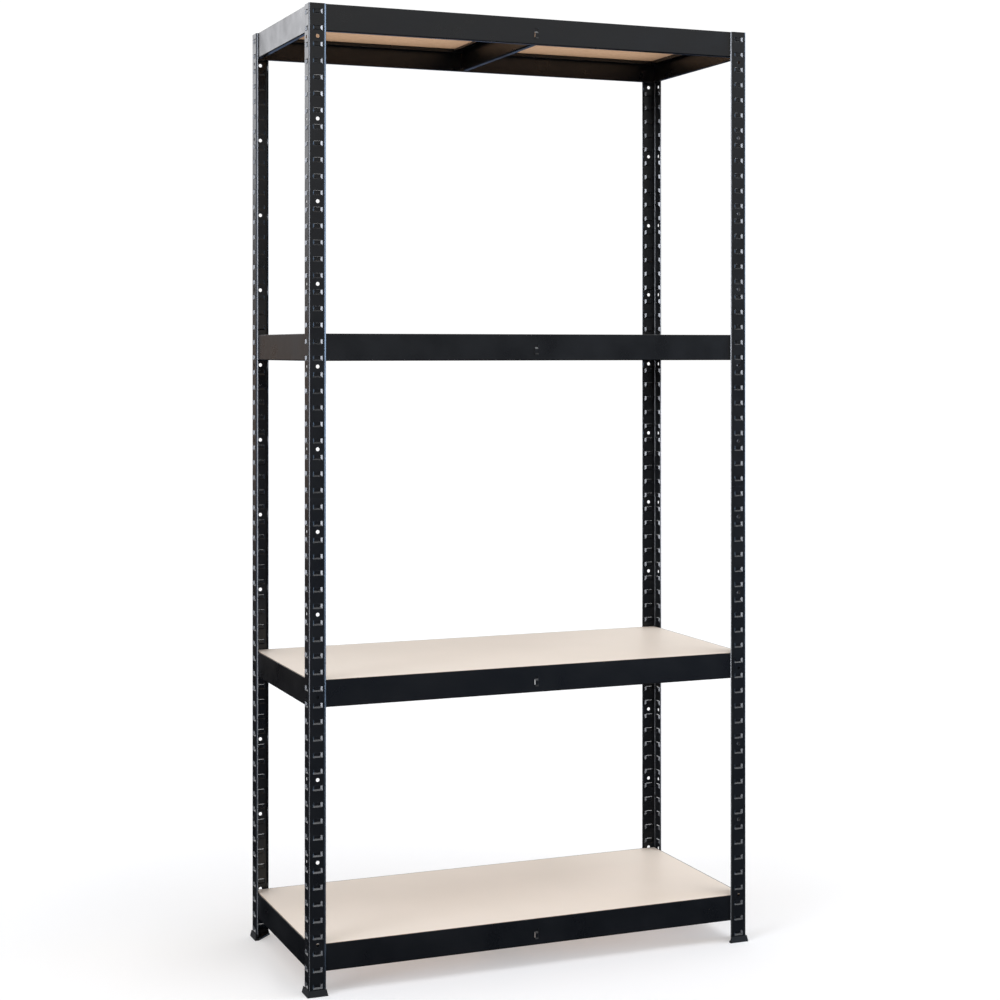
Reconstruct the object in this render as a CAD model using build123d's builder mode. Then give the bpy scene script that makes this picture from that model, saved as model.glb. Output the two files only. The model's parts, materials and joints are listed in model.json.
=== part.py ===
from build123d import *
from math import cos, hypot, radians, sin
import os

# Four-tier boltless steel shelving. Millimetres, +Z up, +X along the width, the front faces -Y.
# The origin is on the floor at the centre of the footprint.
#
# Two measures are used on every folded piece: "depth" runs inwards from the outer faces of the
# uprights, and "drop" runs down from the top edge of a shelf beam.

# ---------------------------------------------------------------- driving dimensions
UNIT_WIDTH = 900.0
UNIT_DEPTH = 400.0
HALF_POST = 900.0
GRID_PITCH = 30.0
SHELF_HEIGHTS = [90.0, 570.0, 1200.0, 1800.0]  # top of each shelf above the foot of the posts

POST_SHEET = 1.2
POST_FLANGE = 33.0
POST_CORNER_RADIUS = 3.0
CURL_RADIUS = 7.5
CURL_ANGLE = radians(50)
CURL_RUN = 3.6
HOLE_LINE = 16.5  # pockets and holes lie on this line, measured from the outer corner

POCKET_WIDTH = 18.0
POCKET_HEIGHT = 9.0
POCKET_DEPTH = 2.6
POCKET_SLOPE = 2.8
FIXING_HOLE_RADIUS = 3.5
FIRST_FIXING_HOLE = 90.0
FIXING_HOLE_PITCH = 150.0
FIXING_HOLES_PER_HALF = 6

BEAM_SHEET = 1.0
BEAM_HEIGHT = 50.0
BEAM_FACE_DEPTH = 3.9
BEAM_END_GAP = 6.2
RIM_DROP = 5.0
RIM_RADIUS = 0.9
LEDGE_DEPTH = 20.0
LEDGE_LIP_DROP = 12.0
FOOT_LIP_DEPTH = 12.5
FOOT_LIP_RELIEF = 12.5
SHORT_LEDGE_START = 20.5

TONGUE_WIDTH = 7.6
TONGUE_WINDOW_WIDTH = 8.4
TONGUE_TOP_DROP = 7.0
TONGUE_TIP_DROP = 16.4
TONGUE_ROOT_LENGTH = 1.2
TONGUE_JOG_GAP = 0.2
TONGUE_JOG_LENGTH = 2.7
TONGUE_HOOK_DEPTH = 1.95

BRACE_SLOT_WIDTH = 8.0
BRACE_SLOT_TOP_DROP = 19.0
BRACE_SLOT_FOOT_DROP = 36.0

BRACE_WEB_X = -5.0
BRACE_FLANGE = 20.0
BRACE_FLANGE_LIP = 4.0
BRACE_FOOT_DROP = 49.0
BRACE_FOOT_LIP = 10.0
BRACE_PLATE_WIDTH = 16.0
BRACE_PLATE_TOP_DROP = 14.0
BRACE_PLATE_FOOT_DROP = 44.0
BRACE_TONGUE_WIDTH = 6.4
BRACE_TONGUE_DROPS = [22.0, 24.5, 28.0, 36.0, 38.6]  # root, two bends, start and end of the flare
BRACE_TONGUE_FLARE = 1.0
BRACE_WINDOW_TOP_DROP = 24.0
BRACE_WINDOW_FOOT_DROP = 38.0
BRACE_ARM = 10.0

BOARD_THICKNESS = 5.0
BOARD_EDGE_DEPTH = 6.2

JOINER_LENGTH = 80.0
JOINER_REACH = 26.5
JOINER_DEPTH = 1.3
JOINER_WINDOW_WIDTH = 20.4
JOINER_WINDOW_HEIGHT = 11.0

SOLE_THICKNESS = 3.0
FOOT_FLARE = 3.5
FOOT_NOSE = 4.5
FOOT_REACH = 35.5
FOOT_HEIGHT = 11.5
FOOT_TAPER = 11.0
FOOT_CLEARANCE = 0.1
FOOT_RIB_OUTER = 1.4
FOOT_RIB_INNER = 3.2
FOOT_RIB_REACH = 26.0
FOOT_RIB_TOP = 11.0
FOOT_RIB_CORNER = 2.0

# Centre-line radii of the bends, from the sharp ones of a tongue to the soft foot of the brace.
TONGUE_BEND = 0.8
ARM_BEND = 1.2
SHEET_BEND = 1.5
BRACE_FOOT_BEND = 2.5

LOOSE_FIT = 0.3
CLOSE_FIT = 0.05
WINDOW_CLEARANCE = 0.5

# ---------------------------------------------------------------- values worked out from them
POCKET_SPREAD = POCKET_SLOPE / POCKET_DEPTH
POCKETS_PER_HALF = round(HALF_POST / GRID_PITCH)
POCKET_LEVELS = [GRID_PITCH * (k + 0.5) for k in range(POCKETS_PER_HALF)]
FIXING_LEVELS = [FIRST_FIXING_HOLE + FIXING_HOLE_PITCH * k for k in range(FIXING_HOLES_PER_HALF)]
SHELF_LEVELS = [SOLE_THICKNESS + height for height in SHELF_HEIGHTS]
LONG_BEAM = UNIT_WIDTH - 2 * BEAM_END_GAP
SHORT_BEAM = UNIT_DEPTH - 2 * BEAM_END_GAP
WEB_MIDDLE = BEAM_FACE_DEPTH + BEAM_SHEET / 2
LEDGE_MIDDLE_DROP = RIM_DROP + BEAM_SHEET / 2
RIM_THICKNESS = 2 * BEAM_SHEET
POST_CUT = 4 * POST_SHEET  # deep enough to pass through a flange
BEAM_CUT = 1.4 * BEAM_SHEET  # deep enough to pass through the web of a beam

# Corner name: x side, y side and the turn that points the two flanges of a post inwards.
CORNERS = {
    "front_left": (-1, -1, 0),
    "front_right": (1, -1, 90),
    "rear_right": (1, 1, 180),
    "rear_left": (-1, 1, 270),
}


def fold(points, radii, sheet):
    """Draw folded sheet metal: a centre line with bends, given the thickness of the sheet."""
    with BuildLine() as centre:
        FilletPolyline(*points, radius=radii)
    trace(centre.line, line_width=sheet)


def both_flanges(levels):
    """Places on the hole line of both flanges of a post, at each level, facing into the corner."""
    front = [Location((HOLE_LINE, 0, level)) for level in levels]
    side = [Location((0, HOLE_LINE, level), (0, 0, -90)) for level in levels]
    return front + side


def write_node(piece, node, place):
    """Put a finished piece in its place in the unit and write it as one node."""
    with BuildPart() as placed:
        with Locations(place):
            add(piece)
    placed.part.label = node
    export_step(placed.part, f"parts/{node}.step")


# ---------------------------------------------------------------- uprights
def pocket_section(depth, wall):
    """Outline of a pocket at a depth: straight at the top, drawn in on the other three sides."""
    drawn_in = POCKET_SPREAD * depth - wall * hypot(1, POCKET_SPREAD)
    with Locations((0, drawn_in / 2)):
        Rectangle(POCKET_WIDTH - 2 * drawn_in, POCKET_HEIGHT - drawn_in)


# A pocket is pressed inwards from the face of the post. Its ends and its foot slope, and its top
# is cut open, so that the tongue of a beam drops into it from behind. The hollow is what the
# press leaves empty, and the shell is the same shape grown by the thickness of the sheet.
with BuildPart() as pocket_hollow:
    for depth in (-POST_SHEET / 2, POCKET_DEPTH):
        with BuildSketch(Plane.XZ.offset(-depth)):
            pocket_section(depth, 0)
    loft()

with BuildPart() as pocket_shell:
    for depth in (POST_SHEET / 2, POCKET_DEPTH + POST_SHEET):
        with BuildSketch(Plane.XZ.offset(-depth)):
            pocket_section(depth, POST_SHEET)
    loft()

# Half a post: an angle with a rounded corner, both free edges rolled inwards to a soft bead, a
# pocket every pitch and a round fixing hole every five pitches. All eight halves are the same.
with BuildPart() as upright:
    middle = POST_SHEET / 2
    curl_tip_depth = middle + CURL_RUN * sin(CURL_ANGLE)
    curl_tip_reach = POST_FLANGE - middle * sin(CURL_ANGLE)
    curl_start = curl_tip_reach - CURL_RUN * cos(CURL_ANGLE)
    with BuildSketch():
        fold(
            [
                (curl_tip_reach, curl_tip_depth),
                (curl_start, middle),
                (middle, middle),
                (middle, curl_start),
                (curl_tip_depth, curl_tip_reach),
            ],
            [CURL_RADIUS, POST_CORNER_RADIUS - middle, CURL_RADIUS],
            POST_SHEET,
        )
    extrude(amount=HALF_POST)
    with Locations(*both_flanges(POCKET_LEVELS)):
        add(pocket_shell.part)
        add(pocket_hollow.part, mode=Mode.SUBTRACT)
    with Locations(*both_flanges(FIXING_LEVELS)):
        Cylinder(FIXING_HOLE_RADIUS, POST_CUT, rotation=(90, 0, 0), mode=Mode.SUBTRACT)

# The joiner is a short angle inside the corner that keeps the two halves of a post in line. Its
# windows sit round the pockets on each side of the joint.
with BuildPart() as joiner:
    middle = JOINER_DEPTH + POST_SHEET / 2
    with BuildSketch(Plane.XY.offset(-JOINER_LENGTH / 2)):
        fold(
            [(JOINER_REACH, middle), (middle, middle), (middle, JOINER_REACH)],
            [POST_CORNER_RADIUS - middle],
            POST_SHEET,
        )
    extrude(amount=JOINER_LENGTH)
    with Locations(*both_flanges([-GRID_PITCH / 2, GRID_PITCH / 2])):
        with Locations((0, JOINER_DEPTH, 0)):
            Box(
                JOINER_WINDOW_WIDTH,
                POST_CUT,
                JOINER_WINDOW_HEIGHT,
                mode=Mode.SUBTRACT,
            )

# ---------------------------------------------------------------- feet
# A moulded cap under each post: a three-sided sole, a sloping skirt outside the corner and a rib
# inside it. The end of the post stands in the channel between the skirt and the rib.
with BuildPart() as foot:
    with BuildSketch():
        with BuildLine():
            Polyline(
                (-FOOT_FLARE, -FOOT_FLARE),
                (FOOT_REACH, -FOOT_FLARE),
                (FOOT_REACH, FOOT_NOSE),
                (FOOT_NOSE, FOOT_REACH),
                (-FOOT_FLARE, FOOT_REACH),
                close=True,
            )
        make_face()
    extrude(amount=FOOT_HEIGHT, taper=FOOT_TAPER)
    with BuildSketch(Plane.XY.offset(SOLE_THICKNESS)):
        with Locations((-FOOT_CLEARANCE, -FOOT_CLEARANCE)):
            Rectangle(
                FOOT_REACH + FOOT_FLARE,
                FOOT_REACH + FOOT_FLARE,
                align=(Align.MIN, Align.MIN),
            )
    extrude(amount=FOOT_HEIGHT, mode=Mode.SUBTRACT)
    with BuildSketch(Plane.XY.offset(SOLE_THICKNESS)) as rib:
        with BuildLine():
            Polyline(
                (FOOT_RIB_OUTER, FOOT_RIB_OUTER),
                (FOOT_RIB_REACH, FOOT_RIB_OUTER),
                (FOOT_RIB_REACH, FOOT_RIB_INNER),
                (FOOT_RIB_INNER, FOOT_RIB_INNER),
                (FOOT_RIB_INNER, FOOT_RIB_REACH),
                (FOOT_RIB_OUTER, FOOT_RIB_REACH),
                close=True,
            )
        make_face()
        fillet(rib.vertices().sort_by(Axis((0, 0, 0), (1, 1, 0)))[0], radius=FOOT_RIB_CORNER)
    extrude(amount=FOOT_RIB_TOP - SOLE_THICKNESS)


# ---------------------------------------------------------------- shelf beams
def beam_profile():
    """Web, inward foot lip, folded rim and the ledge that carries the board."""
    fold(
        [
            (FOOT_LIP_DEPTH, BEAM_SHEET / 2 - BEAM_HEIGHT),
            (WEB_MIDDLE, BEAM_SHEET / 2 - BEAM_HEIGHT),
            (WEB_MIDDLE, -RIM_DROP / 2),
        ],
        [SHEET_BEND],
        BEAM_SHEET,
    )
    fold(
        [
            (WEB_MIDDLE + BEAM_SHEET / 2, -LEDGE_MIDDLE_DROP),
            (LEDGE_DEPTH - BEAM_SHEET / 2, -LEDGE_MIDDLE_DROP),
            (LEDGE_DEPTH - BEAM_SHEET / 2, -LEDGE_LIP_DROP),
        ],
        [SHEET_BEND],
        BEAM_SHEET,
    )
    with Locations((BEAM_FACE_DEPTH, -RIM_DROP - BEAM_SHEET)):
        Rectangle(RIM_THICKNESS, RIM_DROP + BEAM_SHEET, align=(Align.MIN, Align.MIN))


def round_rim():
    """Round the top of the folded rim, where the sheet turns back on itself."""
    ridge = edges().filter_by(Axis.X).group_by(Axis.Z)[-1]
    fillet(ridge, radius=RIM_RADIUS)


def cut_window(x, width, top_drop, foot_drop):
    """Cut an upright slot through the web of a beam."""
    with Locations((x, WEB_MIDDLE, -(top_drop + foot_drop) / 2)):
        Box(width, BEAM_CUT, foot_drop - top_drop, mode=Mode.SUBTRACT)


def hang_tongues(overall):
    """Lance one hooked tongue out of the web at each end, on the hole line of the posts."""
    jog_top = -TONGUE_TOP_DROP - TONGUE_JOG_GAP
    for side in (-1, 1):
        x = side * (overall / 2 - HOLE_LINE)
        window_foot = TONGUE_TIP_DROP + WINDOW_CLEARANCE
        cut_window(x, TONGUE_WINDOW_WIDTH, TONGUE_TOP_DROP, window_foot)
        with BuildSketch(Plane.YZ.offset(x)) as tongue:
            fold(
                [
                    (WEB_MIDDLE, jog_top + TONGUE_ROOT_LENGTH),
                    (WEB_MIDDLE, jog_top),
                    (TONGUE_HOOK_DEPTH, jog_top - TONGUE_JOG_LENGTH),
                    (TONGUE_HOOK_DEPTH, -TONGUE_TIP_DROP),
                ],
                [TONGUE_BEND, TONGUE_BEND],
                BEAM_SHEET,
            )
        extrude(tongue.sketch, amount=TONGUE_WIDTH / 2, both=True)


# The long beam also has a slot in the middle for the hook of the centre brace.
with BuildPart() as long_beam:
    with BuildSketch(Plane.YZ):
        beam_profile()
    extrude(amount=LONG_BEAM / 2, both=True)
    round_rim()
    hang_tongues(UNIT_WIDTH)
    cut_window(0, BRACE_SLOT_WIDTH, BRACE_SLOT_TOP_DROP, BRACE_SLOT_FOOT_DROP)

# The short beam is the same section with its ledge and foot lip cut back at the ends, so that
# they stay clear of those of the long beams.
with BuildPart() as short_beam:
    with BuildSketch(Plane.YZ):
        beam_profile()
    extrude(amount=SHORT_BEAM / 2, both=True)
    round_rim()
    relief = SHORT_LEDGE_START - BEAM_END_GAP
    for side in (-1, 1):
        x = side * (SHORT_BEAM / 2 - relief / 2)
        with Locations((x, BEAM_FACE_DEPTH + RIM_THICKNESS, -RIM_DROP)):
            Box(
                relief,
                LEDGE_DEPTH,
                LEDGE_LIP_DROP,
                align=(Align.CENTER, Align.MIN, Align.MAX),
                mode=Mode.SUBTRACT,
            )
        with Locations((x, BEAM_FACE_DEPTH + BEAM_SHEET, -BEAM_HEIGHT)):
            Box(
                relief,
                LEDGE_DEPTH,
                FOOT_LIP_RELIEF,
                align=(Align.CENTER, Align.MIN, Align.MIN),
                mode=Mode.SUBTRACT,
            )
    hang_tongues(UNIT_DEPTH)

# ---------------------------------------------------------------- centre brace
# A folded Z section under the middle of each board. Its flange lies under the board, and a hook
# on the plate at each end passes through the slot of a long beam and down over its face.
with BuildPart() as brace:
    plate_face = UNIT_DEPTH / 2 - BEAM_FACE_DEPTH - BEAM_SHEET - LOOSE_FIT
    plate_middle = plate_face - BEAM_SHEET / 2
    flange_end = UNIT_DEPTH / 2 - LEDGE_DEPTH - LOOSE_FIT
    flange_left = BRACE_WEB_X - BRACE_FLANGE
    web_top = -RIM_DROP - BEAM_SHEET / 2
    web_foot = BEAM_SHEET / 2 - BRACE_FOOT_DROP
    with BuildSketch(Plane.XZ):
        fold(
            [
                (flange_left, web_top - BRACE_FLANGE_LIP),
                (flange_left, web_top),
                (BRACE_WEB_X, web_top),
                (BRACE_WEB_X, web_foot),
                (BRACE_WEB_X + BRACE_FOOT_LIP, web_foot),
            ],
            [SHEET_BEND, SHEET_BEND, BRACE_FOOT_BEND],
            BEAM_SHEET,
        )
    extrude(amount=flange_end, both=True)
    with BuildSketch(Plane.XZ):
        arm_top_drop = LEDGE_LIP_DROP + WINDOW_CLEARANCE
        with Locations((BRACE_WEB_X, -arm_top_drop)):
            Rectangle(
                BEAM_SHEET,
                BRACE_PLATE_FOOT_DROP - arm_top_drop,
                align=(Align.CENTER, Align.MAX),
            )
    extrude(amount=flange_end + BRACE_ARM, both=True)
    for side in (-1, 1):
        with BuildSketch(Plane.XY.offset(-BRACE_PLATE_FOOT_DROP)):
            fold(
                [
                    (BRACE_WEB_X, side * (flange_end + BRACE_ARM / 2)),
                    (BRACE_WEB_X, side * plate_middle),
                    (BRACE_WEB_X + BRACE_PLATE_WIDTH, side * plate_middle),
                ],
                [ARM_BEND],
                BEAM_SHEET,
            )
        extrude(amount=BRACE_PLATE_FOOT_DROP - BRACE_PLATE_TOP_DROP)
        window_middle = (BRACE_WINDOW_TOP_DROP + BRACE_WINDOW_FOOT_DROP) / 2
        with Locations((0, side * plate_middle, -window_middle)):
            Box(
                BRACE_TONGUE_WIDTH + 2 * LOOSE_FIT,
                BEAM_CUT,
                BRACE_WINDOW_FOOT_DROP - BRACE_WINDOW_TOP_DROP,
                mode=Mode.SUBTRACT,
            )
        outer_face = UNIT_DEPTH / 2 - BEAM_FACE_DEPTH + BEAM_SHEET / 2 + CLOSE_FIT
        tongue_depths = [
            plate_middle,
            plate_middle,
            outer_face,
            outer_face,
            outer_face + BRACE_TONGUE_FLARE,
        ]
        with BuildSketch(Plane.YZ):
            fold(
                [(side * d, -drop) for d, drop in zip(tongue_depths, BRACE_TONGUE_DROPS)],
                [TONGUE_BEND, TONGUE_BEND, ARM_BEND],
                BEAM_SHEET,
            )
        extrude(amount=BRACE_TONGUE_WIDTH / 2, both=True)

# ---------------------------------------------------------------- board
# A loose sheet of fibreboard. It lies on the ledges with its top level with the rims.
with BuildPart() as board:
    Box(
        UNIT_WIDTH - 2 * BOARD_EDGE_DEPTH,
        UNIT_DEPTH - 2 * BOARD_EDGE_DEPTH,
        BOARD_THICKNESS,
        align=(Align.CENTER, Align.CENTER, Align.MAX),
    )

# ---------------------------------------------------------------- the unit, node by node
os.makedirs("parts", exist_ok=True)

for corner_name, (x_side, y_side, turn) in CORNERS.items():
    x = x_side * UNIT_WIDTH / 2
    y = y_side * UNIT_DEPTH / 2
    facing = (0, 0, turn)
    foot_top = SOLE_THICKNESS
    joint = SOLE_THICKNESS + HALF_POST
    write_node(foot.part, f"foot_{corner_name}", Location((x, y, 0), facing))
    write_node(upright.part, f"upright_{corner_name}_lower", Location((x, y, foot_top), facing))
    write_node(upright.part, f"upright_{corner_name}_upper", Location((x, y, joint), facing))
    write_node(joiner.part, f"upright_joiner_{corner_name}", Location((x, y, joint), facing))

for number, level in enumerate(SHELF_LEVELS, start=1):
    front = Location((0, -UNIT_DEPTH / 2, level), (0, 0, 0))
    rear = Location((0, UNIT_DEPTH / 2, level), (0, 0, 180))
    left = Location((-UNIT_WIDTH / 2, 0, level), (0, 0, -90))
    right = Location((UNIT_WIDTH / 2, 0, level), (0, 0, 90))
    write_node(long_beam.part, f"beam_front_{number}", front)
    write_node(long_beam.part, f"beam_rear_{number}", rear)
    write_node(short_beam.part, f"beam_left_{number}", left)
    write_node(short_beam.part, f"beam_right_{number}", right)
    write_node(brace.part, f"centre_brace_{number}", Location((0, 0, level)))
    write_node(board.part, f"board_{number}", Location((0, 0, level)))
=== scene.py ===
# %% [markdown]
# # Boltless steel shelving
# Four fibreboard shelves hang between four pressed steel angle posts. Nothing is bolted: every
# beam has a tongue at each end that drops into a pressed pocket of the post. The folded steel,
# the boards and the feet come ready made from the engineering model, so this lesson is about
# what they are made of: black powder coat, melamine-faced fibreboard and moulded polypropylene,
# and about the light that lets a black object show its shape.

import json
import math

import bpy
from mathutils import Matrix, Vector


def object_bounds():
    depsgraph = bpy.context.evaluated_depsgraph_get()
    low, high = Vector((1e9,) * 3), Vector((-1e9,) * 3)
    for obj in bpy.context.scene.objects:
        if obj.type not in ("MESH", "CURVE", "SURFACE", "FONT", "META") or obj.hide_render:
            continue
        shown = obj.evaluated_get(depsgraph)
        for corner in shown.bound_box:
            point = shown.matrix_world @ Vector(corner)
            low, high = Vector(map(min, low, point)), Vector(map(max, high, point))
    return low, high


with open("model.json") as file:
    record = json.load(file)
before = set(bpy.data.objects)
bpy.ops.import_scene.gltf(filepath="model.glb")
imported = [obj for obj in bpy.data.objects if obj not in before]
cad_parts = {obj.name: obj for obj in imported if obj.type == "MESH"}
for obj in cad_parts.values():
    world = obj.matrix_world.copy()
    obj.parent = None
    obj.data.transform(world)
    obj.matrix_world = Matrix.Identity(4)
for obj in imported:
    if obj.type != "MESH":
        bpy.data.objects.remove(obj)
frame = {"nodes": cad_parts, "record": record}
cad_low, cad_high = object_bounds()
size = cad_high - cad_low
middle = (cad_low + cad_high) / 2
print("nodes", len(frame["nodes"]), "size in metres", [round(v, 3) for v in size])

# %% [markdown]
# The unit is seen from the front and a little from the left, from chest height, with its posts
# upright in the picture. A camera that looks down would make tall posts lean together, so the
# camera looks level and its lens is shifted down instead, as an architecture photographer does.
# The lens angle goes by the height of the sensor.

# %% Camera
VIEW_TURN = math.radians(-22.02)
CAMERA_DISTANCE = 3.857
EYE_HEIGHT = 1.173
LENS_MM = 69.65
SENSOR_HEIGHT_MM = 36
SENSOR_WIDTH_MM = 26
SHIFT_RIGHT = 0.002
SHIFT_DOWN = 0.15
back = Vector((math.sin(VIEW_TURN), -math.cos(VIEW_TURN), 0))

camera_data = bpy.data.cameras.new("camera")
camera_data.lens = LENS_MM
camera_data.sensor_fit = "VERTICAL"
camera_data.sensor_height = SENSOR_HEIGHT_MM
camera_data.sensor_width = SENSOR_WIDTH_MM
camera_data.shift_x = SHIFT_RIGHT
camera_data.shift_y = -SHIFT_DOWN
camera = bpy.data.objects.new("camera", camera_data)
bpy.context.scene.collection.objects.link(camera)
eye_level = Vector((middle.x, middle.y, cad_low.z + EYE_HEIGHT))
camera.location = eye_level + back * CAMERA_DISTANCE
camera.rotation_euler = back.to_track_quat("Z", "Y").to_euler()
bpy.context.scene.camera = camera
print("camera at", [round(v, 3) for v in camera.location])

# %% [markdown]
# Paint charts and product sheets give colours as sRGB hex codes, but a shader works in linear
# light. One function does that conversion for the whole scene.

# %% Colour helper
def linear(hex_code):
    """sRGB hex code to a linear RGBA colour."""
    channels = [int(hex_code[i:i + 2], 16) / 255 for i in (1, 3, 5)]
    curved = [c / 12.92 if c <= 0.04045 else ((c + 0.055) / 1.055) ** 2.4 for c in channels]
    return (*curved, 1.0)


# %% [markdown]
# Every finish is a small tree of nodes. Adding a node, setting it up and wiring its inputs is
# the same work each time, so it is one function: a plain value sets a socket, and another
# node's output links to it. Some nodes have several sockets of one name, so a socket can also
# be given by its place: _6 is the one with index 6.

# %% Node helper
def add_node(tree, kind, options=None, **sockets):
    """Add a node, set its options, and set or link its input sockets by name or place."""
    node = tree.nodes.new(kind)
    for key, value in (options or {}).items():
        setattr(node, key, value)
    for key, value in sockets.items():
        name = key.replace("_", " ")
        socket = node.inputs[int(key[1:])] if key[1:].isdigit() else node.inputs[name]
        if isinstance(value, bpy.types.NodeSocket):
            tree.links.new(value, socket)
        else:
            socket.default_value = value
    return node


# %% [markdown]
# A new material starts as an empty tree with a Principled shader, and reads its patterns in
# the object's own metres, so a pattern keeps its true size on every piece.

# %% Material starter
def start_material(name):
    """Make an empty material and return it with its tree, shader and object coordinates."""
    material = bpy.data.materials.new(name)
    material.use_nodes = True
    tree = material.node_tree
    tree.nodes.clear()
    shader = add_node(tree, "ShaderNodeBsdfPrincipled")
    add_node(tree, "ShaderNodeOutputMaterial", Surface=shader.outputs[0])
    place = add_node(tree, "ShaderNodeTexCoord").outputs["Object"]
    return material, tree, shader, place


def per_metre(feature_mm):
    """Noise scale that gives features of this size, in millimetres."""
    return 1000 / feature_mm


# %% [markdown]
# ** Edges.** On coated steel the edges are the first thing to change: the melted film draws back
# from them, and boxes rub along them. Here the same mask also paints a highlight along the edges.
# A Bevel node returns the normal that a rounded edge would have. Its dot product with the true
# normal is 1 on a flat face and falls at an edge, so it makes a mask that fits every cut and fold
# without any unwrapping.

# %% Edge mask
BEVEL_SAMPLES = 6
MATCH_ON_FLAT = 0.98
MATCH_ON_EDGE = 0.8


def edge_mask(tree, reach_mm):
    """White near the edges of the piece and black on its flat faces."""
    rounded = add_node(
        tree, "ShaderNodeBevel", {"samples": BEVEL_SAMPLES}, Radius=reach_mm / 1000,
    )
    flat = add_node(tree, "ShaderNodeNewGeometry").outputs["Normal"]
    match = add_node(tree, "ShaderNodeVectorMath", {"operation": "DOT_PRODUCT"},
                     _0=rounded.outputs[0], _1=flat).outputs["Value"]
    return add_node(
        tree, "ShaderNodeMapRange", Value=match,
        From_Min=MATCH_ON_FLAT, From_Max=MATCH_ON_EDGE, To_Min=0.0, To_Max=1.0,
    ).outputs[0]


# %% [markdown]
# ** Powder coat.** The steel is sprayed with dry polyester powder and baked, so the powder melts
# into a thick, tough film. It is a dielectric with an index of about 1.5. It flows out almost
# flat but keeps a faint orange peel with a wave of 2 to 3 mm, and over a long sheet the film is
# a little thicker here and thinner there. A plain black with low roughness would look like
# lacquer. Three things make it read as powder coat: two sizes of bump, a gloss that varies in
# patches, and edges that are smoother and painted a lighter grey, partly as rubbed wear and
# partly as a painted highlight, broken up by a small noise so that they don't look outlined.

# %% Powder-coated steel
FILM_PATCH_MM = 60
FILM_WAVE_MM = 45
FILM_WAVE_HEIGHT = 0.0006
ORANGE_PEEL_MM = 2.5
ORANGE_PEEL_HEIGHT = 0.00004
RUB_MM = 7
WORN_HIGHLIT_EDGE_MM = 1.0
COAT_GLOSSY = 0.26
COAT_DULL = 0.36
RUBBED_SMOOTHER_BY = 0.06
POLYESTER_IOR = 1.5


def powder_coated_steel():
    """Semi-gloss black polyester powder coat on folded sheet steel."""
    material, tree, shader, place = start_material("powder_coated_steel")
    film = add_node(
        tree, "ShaderNodeTexNoise", Vector=place, Scale=per_metre(FILM_PATCH_MM), Detail=3.0,
    )
    black = add_node(
        tree, "ShaderNodeMix", {"data_type": "RGBA"}, Factor=film.outputs["Fac"],
        _6=linear("#07080a"), _7=linear("#0b0c0e"),
    )
    rub = add_node(tree, "ShaderNodeTexNoise", Vector=place, Scale=per_metre(RUB_MM), Detail=4.0)
    patchy = add_node(
        tree, "ShaderNodeMapRange", Value=rub.outputs["Fac"],
        From_Min=0.42, From_Max=0.62, To_Min=0.1, To_Max=1.0,
    )
    # The edges are made smoother and painted a lighter grey: the grey is partly rubbed wear and
    # partly a painted highlight.
    wear_and_edge_highlight = add_node(tree, "ShaderNodeMath", {"operation": "MULTIPLY"},
                    _0=edge_mask(tree, WORN_HIGHLIT_EDGE_MM), _1=patchy.outputs[0])
    colour = add_node(
        tree, "ShaderNodeMix", {"data_type": "RGBA"}, Factor=wear_and_edge_highlight.outputs[0],
        _6=black.outputs[2], _7=linear("#3a3d42"),
    )
    gloss = add_node(
        tree, "ShaderNodeMapRange", Value=film.outputs["Fac"],
        From_Min=0.3, From_Max=0.7, To_Min=COAT_GLOSSY, To_Max=COAT_DULL,
    )
    roughness = add_node(tree, "ShaderNodeMath", {"operation": "MULTIPLY_ADD"},
                         _0=wear_and_edge_highlight.outputs[0], _1=-RUBBED_SMOOTHER_BY, _2=gloss.outputs[0])
    peel = add_node(
        tree, "ShaderNodeTexNoise", Vector=place, Scale=per_metre(ORANGE_PEEL_MM), Detail=2.0,
    )
    wave = add_node(
        tree, "ShaderNodeTexNoise", Vector=place, Scale=per_metre(FILM_WAVE_MM), Detail=1.0,
    )
    flow = add_node(
        tree, "ShaderNodeBump", Height=wave.outputs["Fac"],
        Strength=0.35, Distance=FILM_WAVE_HEIGHT,
    )
    skin = add_node(
        tree, "ShaderNodeBump", Height=peel.outputs["Fac"], Normal=flow.outputs[0],
        Strength=0.3, Distance=ORANGE_PEEL_HEIGHT,
    )
    tree.links.new(colour.outputs[2], shader.inputs["Base Color"])
    tree.links.new(roughness.outputs[0], shader.inputs["Roughness"])
    tree.links.new(skin.outputs[0], shader.inputs["Normal"])
    shader.inputs["IOR"].default_value = POLYESTER_IOR
    return material


# %% [markdown]
# **Shelf board.** Medium density fibreboard is wood pulp pressed with resin: brown, matt and
# flecked with fibres. Its upper side carries a cream melamine foil, pressed on under heat, which
# is smooth and faintly satin. The foil covers only the top, so one material holds both and the
# direction that a face points in chooses between them.

# %% Melamine-faced fibreboard
FOIL_FACES_UP = 0.7
PULP_MM = 9
FIBRE_MM = 3
FIBRE_STRETCH = 4
PAPER_CLOUD_MM = 120
GRAIN_HEIGHT = 0.00015
RAW_ROUGHNESS = 0.8
FOIL_ROUGHNESS = 0.42
RAW_GRAIN = 0.5
FOIL_GRAIN = 0.04
BOARD_IOR = 1.5


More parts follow.
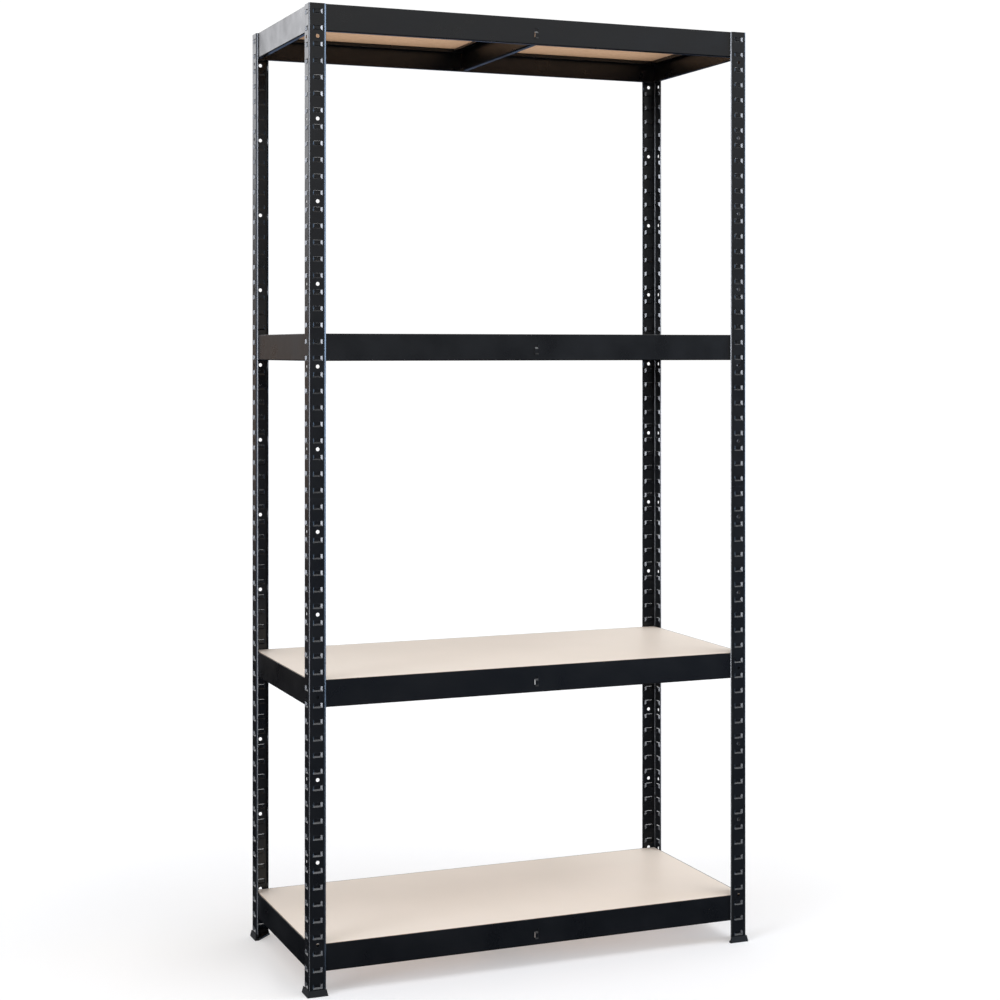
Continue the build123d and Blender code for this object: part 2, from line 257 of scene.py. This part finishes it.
def melamine_faced_fibreboard():
    """Raw brown fibreboard with a cream melamine foil on its upper side."""
    material, tree, shader, place = start_material("melamine_faced_fibreboard")
    normal = add_node(tree, "ShaderNodeNewGeometry").outputs["True Normal"]
    up = add_node(tree, "ShaderNodeSeparateXYZ", Vector=normal).outputs["Z"]
    foil = add_node(tree, "ShaderNodeMath", {"operation": "GREATER_THAN"},
                    _0=up, _1=FOIL_FACES_UP)

    pulp = add_node(tree, "ShaderNodeTexNoise", Vector=place, Scale=per_metre(PULP_MM), Detail=6.0)
    stretched = add_node(
        tree, "ShaderNodeMapping", Vector=place, Scale=(1 / FIBRE_STRETCH, 1.0, 1.0),
    )
    fibres = add_node(
        tree, "ShaderNodeTexNoise", Vector=stretched.outputs[0],
        Scale=per_metre(FIBRE_MM), Detail=4.0,
    )
    brown = add_node(
        tree, "ShaderNodeMix", {"data_type": "RGBA"}, Factor=pulp.outputs["Fac"],
        _6=linear("#c29a76"), _7=linear("#dab491"),
    )
    fleck = add_node(
        tree, "ShaderNodeMapRange", Value=fibres.outputs["Fac"],
        From_Min=0.62, From_Max=0.8, To_Min=0.0, To_Max=0.5,
    )
    flecked = add_node(
        tree, "ShaderNodeMix", {"data_type": "RGBA"}, Factor=fleck.outputs[0],
        _6=brown.outputs[2], _7=linear("#8a6344"),
    )
    paper = add_node(
        tree, "ShaderNodeTexNoise", Vector=place, Scale=per_metre(PAPER_CLOUD_MM), Detail=2.0,
    )
    cream = add_node(
        tree, "ShaderNodeMix", {"data_type": "RGBA"}, Factor=paper.outputs["Fac"],
        _6=linear("#e4d9cb"), _7=linear("#ebdfd2"),
    )
    colour = add_node(
        tree, "ShaderNodeMix", {"data_type": "RGBA"}, Factor=foil.outputs[0],
        _6=flecked.outputs[2], _7=cream.outputs[2],
    )
    roughness = add_node(
        tree, "ShaderNodeMapRange", Value=foil.outputs[0],
        To_Min=RAW_ROUGHNESS, To_Max=FOIL_ROUGHNESS,
    )
    depth = add_node(
        tree, "ShaderNodeMapRange", Value=foil.outputs[0], To_Min=RAW_GRAIN, To_Max=FOIL_GRAIN,
    )
    grain = add_node(
        tree, "ShaderNodeBump", Height=fibres.outputs["Fac"], Strength=depth.outputs[0],
        Distance=GRAIN_HEIGHT,
    )
    tree.links.new(colour.outputs[2], shader.inputs["Base Color"])
    tree.links.new(roughness.outputs[0], shader.inputs["Roughness"])
    tree.links.new(grain.outputs[0], shader.inputs["Normal"])
    shader.inputs["IOR"].default_value = BOARD_IOR
    return material


# %% [markdown]
# **Feet.** The feet are injection moulded in black polypropylene. The mould is spark eroded,
# which leaves a fine matt grain that hides scuffs. The real grain is about a tenth of a
# millimetre wide. It is drawn coarser here, so that it shows. Polypropylene has an index of
# about 1.49.

# %% Moulded polypropylene
SPARK_GRAIN_MM = 0.8
SPARK_GRAIN_HEIGHT = 0.00005
WEAR_MM = 12
MOULDED_ROUGHNESS = 0.58
MOULDED_SHINE = 0.3
POLYPROPYLENE_IOR = 1.49


def moulded_polypropylene():
    """Matt black polypropylene from a spark-eroded mould."""
    material, tree, shader, place = start_material("moulded_polypropylene")
    grain = add_node(
        tree, "ShaderNodeTexNoise", Vector=place, Scale=per_metre(SPARK_GRAIN_MM), Detail=2.0,
    )
    bump = add_node(
        tree, "ShaderNodeBump", Height=grain.outputs["Fac"],
        Strength=0.5, Distance=SPARK_GRAIN_HEIGHT,
    )
    wear = add_node(tree, "ShaderNodeTexNoise", Vector=place, Scale=per_metre(WEAR_MM), Detail=3.0)
    colour = add_node(
        tree, "ShaderNodeMix", {"data_type": "RGBA"}, Factor=wear.outputs["Fac"],
        _6=linear("#0c0d0e"), _7=linear("#131415"),
    )
    tree.links.new(colour.outputs[2], shader.inputs["Base Color"])
    tree.links.new(bump.outputs[0], shader.inputs["Normal"])
    shader.inputs["Roughness"].default_value = MOULDED_ROUGHNESS
    shader.inputs["Specular IOR Level"].default_value = MOULDED_SHINE
    shader.inputs["IOR"].default_value = POLYPROPYLENE_IOR
    return material


# %% [markdown]
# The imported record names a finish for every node. Each finish is made once and goes into the
# material slot of every node that has it, so the meshes themselves stay as they are.

# %% Give every node its finish
FINISHES = {
    "powder_coated_steel": powder_coated_steel(),
    "fibreboard": melamine_faced_fibreboard(),
    "black_plastic": moulded_polypropylene(),
}
counts = {}
for part in frame["record"]["subparts"]:
    finish = part["material_slot"]
    node = frame["nodes"][part["node"]]
    node.data.materials.clear()
    node.data.materials.append(FINISHES[finish])
    counts[finish] = counts.get(finish, 0) + 1
print("nodes with each finish", counts)

# %% [markdown]
# The floor is a pale sheet, wide enough to reach the horizon. It glows a little, like a light
# table, which softens the shadow that the unit drops on it. Black gloss would mirror it, so it
# is hidden from reflections: near the floor the steel then reflects darkness and stays black.

# %% Floor
FLOOR_REACH = 60
FLOOR_ROUGHNESS = 0.9
FLOOR_GLOW = 0.28

floor_mesh = bpy.data.meshes.new("floor")
signs = ((-1, -1), (1, -1), (1, 1), (-1, 1))
corners = [(x * FLOOR_REACH, y * FLOOR_REACH, cad_low.z) for x, y in signs]
floor_mesh.from_pydata(corners, [], [(0, 1, 2, 3)])
floor = bpy.data.objects.new("floor", floor_mesh)
bpy.context.scene.collection.objects.link(floor)
floor_paint, _, floor_shader, _ = start_material("pale_floor")
floor_shader.inputs["Base Color"].default_value = linear("#d6d6d6")
floor_shader.inputs["Roughness"].default_value = FLOOR_ROUGHNESS
floor_shader.inputs["Emission Color"].default_value = linear("#ffffff")
floor_shader.inputs["Emission Strength"].default_value = FLOOR_GLOW
floor_mesh.materials.append(floor_paint)
floor.visible_glossy = False

# %% [markdown]
# A black object shows its surroundings, not itself, so the surroundings are part of the finish.
# Here they are painted on the sky. The first layer is a tent that is bright above and fades to
# dark at the horizon, so the top beams look grey and the low ones stay black. A ramp paints
# it from straight down, at -1, to straight up, at 1. Its steps are all placed before any is
# coloured, because a ramp keeps them in order and one can change places with its neighbour.

# %% Tent
TENT_STEPS = [
    (-1.0, "#050505"),
    (-0.12, "#070708"),
    (0.02, "#0c0c0c"),
    (0.06, "#303030"),
    (0.1, "#cccccc"),
    (0.13, "#efeeec"),
    (0.3, "#eae7e3"),
    (1.0, "#ebe8e4"),
]
world = bpy.data.worlds.new("studio")
bpy.context.scene.world = world
world.use_nodes = True
sky = world.node_tree
sky.nodes.clear()
direction = add_node(sky, "ShaderNodeTexCoord").outputs["Generated"]
level = add_node(sky, "ShaderNodeSeparateXYZ", Vector=direction).outputs["Z"]
along = add_node(sky, "ShaderNodeMapRange", Value=level, From_Min=-1.0, From_Max=1.0)
ramp = add_node(sky, "ShaderNodeValToRGB", Fac=along.outputs[0])
steps = ramp.color_ramp.elements
while len(steps) < len(TENT_STEPS):
    steps.new(0.5)
for step, (height, _) in zip(steps, TENT_STEPS):
    step.position = (height + 1) / 2
for step, (_, shade) in zip(steps, TENT_STEPS):
    step.color = linear(shade)
glow = ramp.outputs[0]
print("tent steps", len(steps))

# %% [markdown]
# The second layer is a few banks of light round the tent. A bank is a soft-edged patch: one
# mask from the angle to its middle, another from its height above the horizon. Each one has a
# job. The cool banks at the sides draw a line down every folded corner and rolled edge. The
# narrow hot one on the left makes the end of each pocket glint, the one above it lights the
# rolled edges near the top, and the one overhead lights the ledge at the foot of each pocket.
# The two behind on the left grey the left faces, more above than below. The one behind and low
# runs a line along the rounded foot of each brace, and the low one in front gives the lower
# long beams their faint blue.

# %% Banks of light
BANKS = [
    # name, turn from the front, half width and soft edge in degrees,
    # the levels between which it fades in and out, brightness, colour
    ("left", -92, 34, 12, (-0.21, -0.16), (0.3, 0.4), 1.3, "#c9dcff"),
    ("left_hot", -67, 12, 5, (-0.36, -0.3), (0.2, 0.28), 26.0, "#f2f6ff"),
    ("left_high", -60, 16, 6, (0.05, 0.13), (0.22, 0.28), 18.0, "#e6f0ff"),
    ("right", 77, 14, 5, (-0.2, -0.05), (0.3, 0.4), 24.0, "#b4d2f8"),
    ("high_right", 40, 66, 8, (0.8, 0.88), (0.93, 0.98), 9.0, "#f4f8ff"),
    ("rear_left", -160, 14, 10, (0.06, 0.18), (0.3, 0.4), 2.8, "#f6f8ff"),
    ("rear_left_low", -162, 18, 10, (-0.12, -0.06), (0.01, 0.05), 0.3, "#ffe1cc"),
    ("rear_floor", 165, 14, 5, (-0.5, -0.42), (-0.1, -0.06), 0.8, "#a9c2ee"),
    ("low_front_right", 22, 22, 14, (-0.24, -0.17), (-0.1, -0.04), 0.34, "#b8d1ff"),
]


def bank_of_light(turn, half_width, edge, low, high, brightness, shade):
    """A soft-edged patch of light in the given direction, as a colour to add to the sky."""
    toward = (math.sin(math.radians(turn)), -math.cos(math.radians(turn)), 0)
    facing = add_node(sky, "ShaderNodeVectorMath", {"operation": "DOT_PRODUCT"},
                      _0=direction, _1=toward).outputs["Value"]
    wide = add_node(
        sky, "ShaderNodeMapRange", {"interpolation_type": "SMOOTHSTEP"}, Value=facing,
        From_Min=math.cos(math.radians(half_width + edge)),
        From_Max=math.cos(math.radians(max(half_width - edge, 0.5))),
    )
    above = add_node(
        sky, "ShaderNodeMapRange", {"interpolation_type": "SMOOTHSTEP"}, Value=level,
        From_Min=low[0], From_Max=low[1],
    )
    below = add_node(
        sky, "ShaderNodeMapRange", {"interpolation_type": "SMOOTHSTEP"}, Value=level,
        From_Min=high[0], From_Max=high[1], To_Min=1.0, To_Max=0.0,
    )
    tall = add_node(sky, "ShaderNodeMath", {"operation": "MULTIPLY"},
                    _0=above.outputs[0], _1=below.outputs[0])
    patch = add_node(sky, "ShaderNodeMath", {"operation": "MULTIPLY"},
                     _0=wide.outputs[0], _1=tall.outputs[0])
    light = [channel * brightness for channel in linear(shade)[:3]]
    return add_node(sky, "ShaderNodeVectorMath", {"operation": "SCALE"},
                    _0=light, Scale=patch.outputs[0]).outputs[0]


for name, *bank in BANKS:
    patch = bank_of_light(*bank)
    glow = add_node(
        sky, "ShaderNodeVectorMath", {"operation": "ADD"}, _0=glow, _1=patch,
    ).outputs[0]
    print("bank", name, "at", bank[0], "degrees")

# %% [markdown]
# Product pictures stand on pure white. The camera sees plain white where everything else sees
# the tent, so the backdrop needs no cutting out. It is a touch brighter than white, so that it
# comes out as white exactly.

# %% White backdrop
BACKDROP_BRIGHTNESS = 1.05

tent = add_node(sky, "ShaderNodeBackground", Color=glow, Strength=1.0)
plain = add_node(
    sky, "ShaderNodeBackground", Color=linear("#ffffff"), Strength=BACKDROP_BRIGHTNESS,
)
seen = add_node(sky, "ShaderNodeLightPath").outputs["Is Camera Ray"]
backdrop = add_node(sky, "ShaderNodeMixShader", _0=seen, _1=tent.outputs[0], _2=plain.outputs[0])
add_node(sky, "ShaderNodeOutputWorld", Surface=backdrop.outputs[0])

# %% [markdown]
# The plain display transform keeps pale boards pale and the white backdrop white. A filmic one
# would grey both.

# %% Display transform
bpy.context.scene.view_settings.view_transform = "Standard"
bpy.context.scene.view_settings.look = "None"
